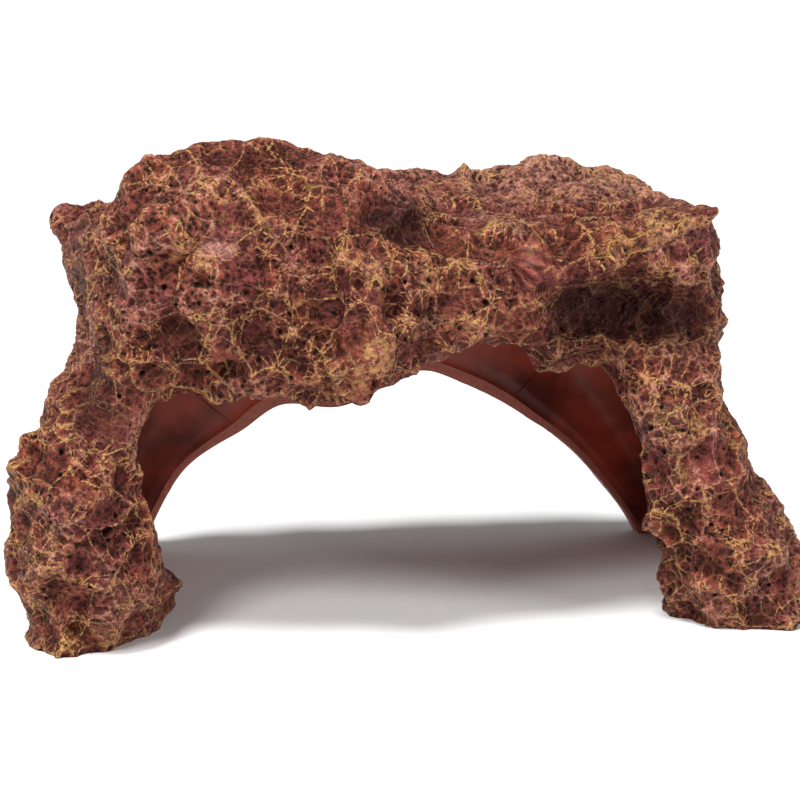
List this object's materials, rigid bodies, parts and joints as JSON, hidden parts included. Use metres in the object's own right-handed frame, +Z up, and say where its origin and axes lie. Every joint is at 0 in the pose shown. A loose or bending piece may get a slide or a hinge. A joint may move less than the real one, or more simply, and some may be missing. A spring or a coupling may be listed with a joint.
{
  "type": "aquarium cave ornament",
  "caption": "Free-standing rock arch cave in cast resin, with a wide front mouth, a lower rear mouth and a smooth lined hollow where fish shelter.",
  "frame": {"origin": "ground level, under the centre of the whole rock's bounding box", "axes": "+Z up from the ground, +X to the right along the arch's width as seen from the wide mouth, -Y towards the wide front mouth"},
  "size_m": [0.3, 0.167, 0.181],
  "materials": {
    "rock": "matte",
    "lining": "gloss"
  },
  "bodies": {
    "root": {"front_left_foot": "rock", "left_shoulder": "rock", "crown_boulder": "rock", "centre_slab": "rock", "fan_lintel": "rock", "right_ledge": "rock", "right_knee_rock": "rock", "front_right_foot": "rock", "rear_left_wall": "rock", "left_spur": "rock", "rear_crown": "rock", "rear_hump": "rock", "rear_right_shoulder": "rock", "rear_right_wall": "rock", "lining_left": "lining", "lining_crown": "lining", "lining_right": "lining"}
  },
  "joints": []
}
